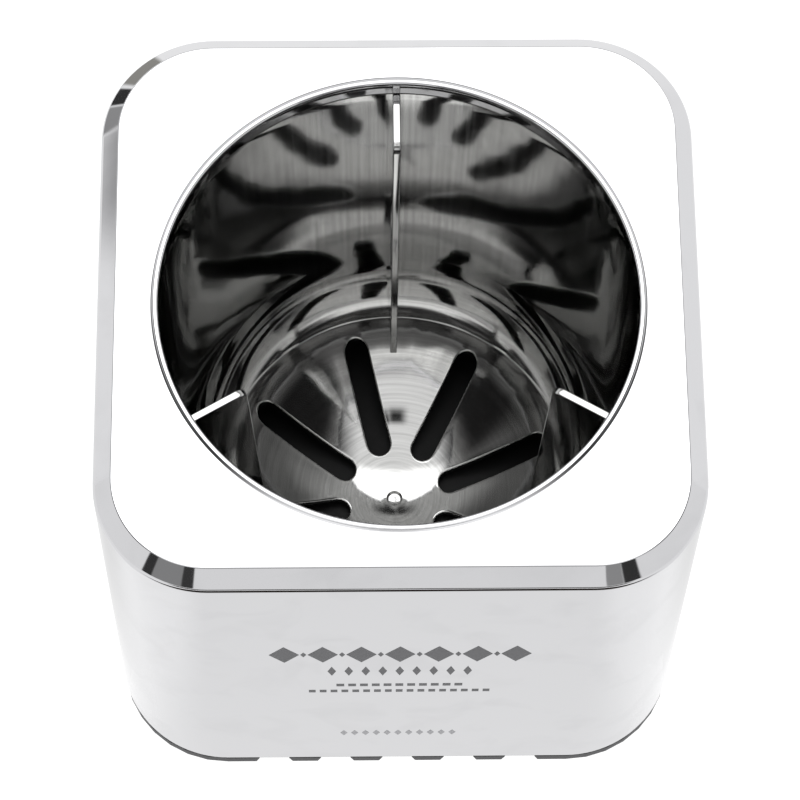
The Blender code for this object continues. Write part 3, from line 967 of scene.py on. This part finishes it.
# %% The ornament's rows
ROWS = [
    # mark, places, pitch, height, half width, half height
    (lozenge, range(-3, 4), 7.2, 67.9, 2.8, 4.4),
    (lozenge, [place + 0.5 for place in range(-3, 3)], 7.2, 67.9, 0.55, 1.3),
    (lozenge, range(-4, 5), 3.2, 58.2, 0.8, 2.6),
    (bar, range(-5, 6), 2.25, 49.9, 0.75, 0.7),
    (bar, range(-8, 9), 2.08, 46.3, 0.65, 0.7),
    (lozenge, range(-5, 6), 2.15, 19.6, 0.7, 1.6),
]
bm = bmesh.new()
for mark, places, pitch, height, half_width, half_height in ROWS:
    for place in places:
        mark(bm, place * pitch, height, half_width, half_height)
ornament = make_piece("front_ornament", bm, "holder")

# %% [markdown]
# Pad-print ink is a thin matte lacquer. A faint mottle breaks it where the film is thinner,
# and the lowest row is printed in a lighter grey.

# %% Matte pad-print ink
ink, tree, shader = new_material("pad_print_ink")
place = add(tree, "ShaderNodeTexCoord").outputs["Object"]
mottle = add(
    tree,
    "ShaderNodeTexNoise",
    {"Vector": place},
    {"Scale": 1 / (0.5 * MM), "Detail": 2.0},
).outputs["Fac"]
shade = add(tree, "ShaderNodeValToRGB", {"Fac": mottle})
shade.color_ramp.elements[0].color = colour("#454548")
shade.color_ramp.elements[1].color = colour("#59595C")
height = add(tree, "ShaderNodeSeparateXYZ", {"Vector": place}).outputs["Z"]
low = add(
    tree,
    "ShaderNodeMapRange",
    {"Value": height},
    {"From Min": 30 * MM, "From Max": 34 * MM, "To Min": 0.75, "To Max": 0.0},
).outputs[0]
thinned = add(
    tree,
    "ShaderNodeMix",
    {"Factor": low, "A": shade.outputs[0]},
    {"B": colour("#A4A4A7")},
    data_type="RGBA",
)
tree.links.new(thinned.outputs["Result"], shader.inputs["Base Color"])
shader.inputs["Roughness"].default_value = 0.55
dress(ink, ornament)

# %% [markdown]
# ## The studio
#
# A mirror shows its surroundings, so the studio is arranged like one for jewellery: the
# holder stands on a large light table, in front of pale walls. Big soft lights and a few dark
# flags, which the camera doesn't see, give the plating its bright plate, its grey chamfer
# and the thin dark lines along its edges.

# %% Pale surroundings
bpy.context.scene.view_settings.view_transform = "Standard"
world = bpy.data.worlds.new("pale_studio")
bpy.context.scene.world = world
world.use_nodes = True
sky = world.node_tree
aim = add(sky, "ShaderNodeTexCoord").outputs["Generated"]
rise = add(sky, "ShaderNodeSeparateXYZ", {"Vector": aim}).outputs["Z"]
SKY_STRENGTH = 1.6
# Height of the direction (0 at the horizon, 1 overhead) and brightness there.
SKY = [(0.0, 1.15), (0.46, 1.1), (0.56, 0.35), (0.66, 0.45), (0.80, 1.4), (1.0, 1.5)]
ramp = add(sky, "ShaderNodeValToRGB", {"Fac": rise})
stops = ramp.color_ramp.elements
for count, (height, radiance) in enumerate(SKY):
    stop = stops[count] if count < 2 else stops.new(height)
    stop.position = height
    share = radiance / SKY_STRENGTH
    stop.color = (share, share, share, 1.0)
sky.links.new(ramp.outputs[0], sky.nodes["Background"].inputs["Color"])
sky.nodes["Background"].inputs["Strength"].default_value = SKY_STRENGTH
print("brightness overhead:", SKY[-1][1], "and least, in a ring:", min(stop[1] for stop in SKY))

# %% [markdown]
# The table is a disc of opal acrylic lit from below, so it shines by itself and takes almost
# no shadow. The holder's walls lean over it, and reflect it as an even pale grey.

# %% The light table
bm = bmesh.new()
rows = loft(bm, [circle(radius, 0.0, 64) for radius in (8000.0, 2000.0, 400.0, 100.0)])
cap(bm, rows[-1])
bmesh.ops.recalc_face_normals(bm, faces=bm.faces)
mesh = bpy.data.meshes.new("light_table")
bm.to_mesh(mesh)
bm.free()
table = bpy.data.objects.new("light_table", mesh)
bpy.context.scene.collection.objects.link(table)
opal, tree, shader = new_material("opal_acrylic_light_table")
shader.inputs["Base Color"].default_value = colour("#8A8A8A")
shader.inputs["Roughness"].default_value = 0.9
shader.inputs["Specular IOR Level"].default_value = 0.0
shader.inputs["Emission Color"].default_value = (1.0, 1.0, 1.0, 1.0)
shader.inputs["Emission Strength"].default_value = 0.95
opal.cycles.emission_sampling = "NONE"
dress(opal, table)
print("table, m across:", 2 * 8000.0 * MM)

# %% [markdown]
# Makers who show off polished metal stand white and black cards round it, and the metal gives
# them back as its lights and darks. Here a card glows by itself, fades out along its edges, and is
# seen only by reflected rays, so it neither lights the floor nor hides it.

# %% A glowing card
GRID = 12


def panel(name, points, radiance, tint, soft):
    """A card through a square grid of points, seen only in reflections, with soft edges."""
    side = GRID + 1
    mesh = bpy.data.meshes.new(name)
    faces = [
        (r * side + c, r * side + c + 1, (r + 1) * side + c + 1, (r + 1) * side + c)
        for r in range(GRID)
        for c in range(GRID)
    ]
    mesh.from_pydata(points, [], faces)
    uv = mesh.uv_layers.new(name="panel")
    for loop in mesh.loops:
        row, column = divmod(loop.vertex_index, side)
        uv.data[loop.index].uv = (column / GRID, row / GRID)
    sheet = bpy.data.objects.new(name, mesh)
    bpy.context.scene.collection.objects.link(sheet)
    sheet.visible_camera = False
    sheet.visible_diffuse = False
    sheet.visible_shadow = False
    sheet.visible_transmission = False

    material = bpy.data.materials.new(name)
    material.use_nodes = True
    material.cycles.emission_sampling = "NONE"
    tree = material.node_tree
    tree.nodes.clear()
    light = add(
        tree, "ShaderNodeEmission", values={"Color": colour(tint), "Strength": radiance}
    )
    across = add(tree, "ShaderNodeUVMap", uv_map="panel").outputs[0]
    parts = add(tree, "ShaderNodeSeparateXYZ", {"Vector": across}).outputs
    fades = []
    for axis in ("X", "Y"):
        off = add(tree, "ShaderNodeMath", {0: parts[axis]}, {1: 0.5}, operation="SUBTRACT")
        size = add(tree, "ShaderNodeMath", {0: off.outputs[0]}, operation="ABSOLUTE")
        fade = add(
            tree,
            "ShaderNodeMapRange",
            {"Value": size.outputs[0]},
            {"From Min": 0.5 - soft / 2, "From Max": 0.5, "To Min": 1.0, "To Max": 0.0},
            interpolation_type="SMOOTHSTEP",
        )
        fades.append(fade.outputs[0])
    both = add(tree, "ShaderNodeMath", {0: fades[0], 1: fades[1]}, operation="MULTIPLY")
    clear = add(tree, "ShaderNodeBsdfTransparent")
    mix = add(
        tree,
        "ShaderNodeMixShader",
        {0: both.outputs[0], 1: clear.outputs[0], 2: light.outputs[0]},
    )
    add(tree, "ShaderNodeOutputMaterial", {"Surface": mix.outputs[0]})
    mesh.materials.append(material)


# %% [markdown]
# Most cards stand on a large sphere round the holder, so that only their direction matters.
# A few lie on the table instead, where the walls and the chamfer's lower edge see them. The
# two kinds differ only in where their points are.

# %% Cards on a sphere, and mats on the table
MIDDLE = Vector((0, 0, 60 * MM))


def card(name, bearing, height, width, tall, radiance, tint="#FFFFFF", soft=0.25, far=2500.0):
    """A card on a sphere. Bearing 0 is the front, and both are the angles of its middle."""
    turn = Matrix.Rotation(math.radians(bearing), 3, "Z")
    tip = Matrix.Rotation(-math.radians(height), 3, "X")
    points = []
    for row in range(GRID + 1):
        for column in range(GRID + 1):
            a = math.radians((column / GRID - 0.5) * width)
            e = math.radians((row / GRID - 0.5) * tall)
            # The card is made at the front horizon, then tipped up and turned into place.
            ahead = Vector((math.sin(a) * math.cos(e), -math.cos(a) * math.cos(e), math.sin(e)))
            points.append(MIDDLE + turn @ tip @ ahead * far * MM)
    panel(name, points, radiance, tint, soft)


def mat(name, x, y, height, radiance, tint="#FFFFFF", soft=0.25):
    """A sheet lying on the table, from x[0] to x[1] and y[0] to y[1], in mm."""
    points = []
    for row in range(GRID + 1):
        for column in range(GRID + 1):
            across = x[0] + (x[1] - x[0]) * column / GRID
            along = y[0] + (y[1] - y[0]) * row / GRID
            points.append(Vector((across, along, height)) * MM)
    panel(name, points, radiance, tint, soft)


# %% [markdown]
# The big softbox whitens the plate. The low flags make the dark line under the chamfer and
# the patches at its corners, and the flags at the sides darken the flanks of the bowl. Three
# small cards stand close to the back left corner, for the patches on its chamfer.

# %% The cards in place
WARM = "#8A7A70"
card("top_softbox", 180, 68, 70, 40, 3.3, soft=0.3)
card("lens_and_hands", -2, 67, 15, 9, 0.04, soft=0.8, far=2200.0)
card("front_low_flag", 0, 2, 64, 18, 0.10, tint=WARM, soft=0.3, far=2400.0)
card("left_flag_near", -17.5, 24, 9, 22, 0.06, soft=0.3, far=2300.0)
card("left_grey", -32, 24, 24, 22, 0.35, soft=0.2, far=2350.0)
card("left_flag_far", -46, 22, 8, 22, 0.05, soft=0.3, far=2300.0)
card("right_grey", 18, 24, 12, 22, 0.4, soft=0.2, far=2350.0)
card("right_flag", 30, 23, 13, 22, 0.05, soft=0.3, far=2300.0)
card("left_back_grey", -119, 4, 10, 12, 0.5, soft=0.4, far=2300.0)
card("left_back_grey_low", -126, -2, 14, 12, 0.42, soft=0.2, far=450.0)
card("left_back_flag", -137, -3, 9, 9, 0.05, soft=0.25, far=420.0)
card("left_back_brown", -148.5, -5, 15, 14, 0.45, tint="#F0EEE6", soft=0.25, far=300.0)
card("left_side_flag", -90, 51, 66, 40, 0.04, soft=0.7, far=2450.0)
card("right_side_flag", 90, 51, 66, 40, 0.04, soft=0.7, far=2450.0)
card("front_high_flag", 0, 46, 66, 22, 0.12, soft=0.9, far=2450.0)
mat("front_paper", (-64, 64), (-150, -40), 0.4, 1.1, soft=0.35)
mat("left_paper", (-125, -48), (-52, 110), 0.4, 0.9, soft=0.45)
mat("right_paper", (48, 125), (-52, 110), 0.4, 0.9, soft=0.45)
mat("dark_mat", (-190, 190), (-640, -128), 2.0, 0.10, tint=WARM, soft=0.18)
staged = [obj.name for obj in bpy.context.scene.objects if not obj.visible_camera]
print("cards and mats:", len(staged))

# %% [markdown]
# ## The camera
#
# A long lens looks down from the front, a little off the middle and turned by a degree or so,
# as a hand-set tripod would leave it.

# %% The camera
LOOK_FROM = (math.radians(-1.95062), math.radians(67.5461))
ROLL = math.radians(1.45435)
TARGET = Vector((-0.04 * MM, -19.94 * MM, 105.7 * MM))
DISTANCE = 593.6 * MM

azimuth, elevation = LOOK_FROM
back = Vector(
    (
        math.sin(azimuth) * math.cos(elevation),
        -math.cos(azimuth) * math.cos(elevation),
        math.sin(elevation),
    )
)
right = Vector((math.cos(azimuth), math.sin(azimuth), 0))
up = back.cross(right)
camera_x = math.cos(ROLL) * right + math.sin(ROLL) * up
camera_y = -math.sin(ROLL) * right + math.cos(ROLL) * up
camera = bpy.data.objects.new("camera", bpy.data.cameras.new("camera"))
bpy.context.scene.collection.objects.link(camera)
turn = Matrix((camera_x, camera_y, back)).transposed()
camera.matrix_world = Matrix.Translation(TARGET + back * DISTANCE) @ turn.to_4x4()
camera.data.sensor_width = 36.0
camera.data.lens = 149.121
camera.data.clip_start = 0.02
camera.data.clip_end = 50.0
bpy.context.scene.camera = camera
print("camera stands at, mm:", [round(part / MM) for part in camera.matrix_world.translation])
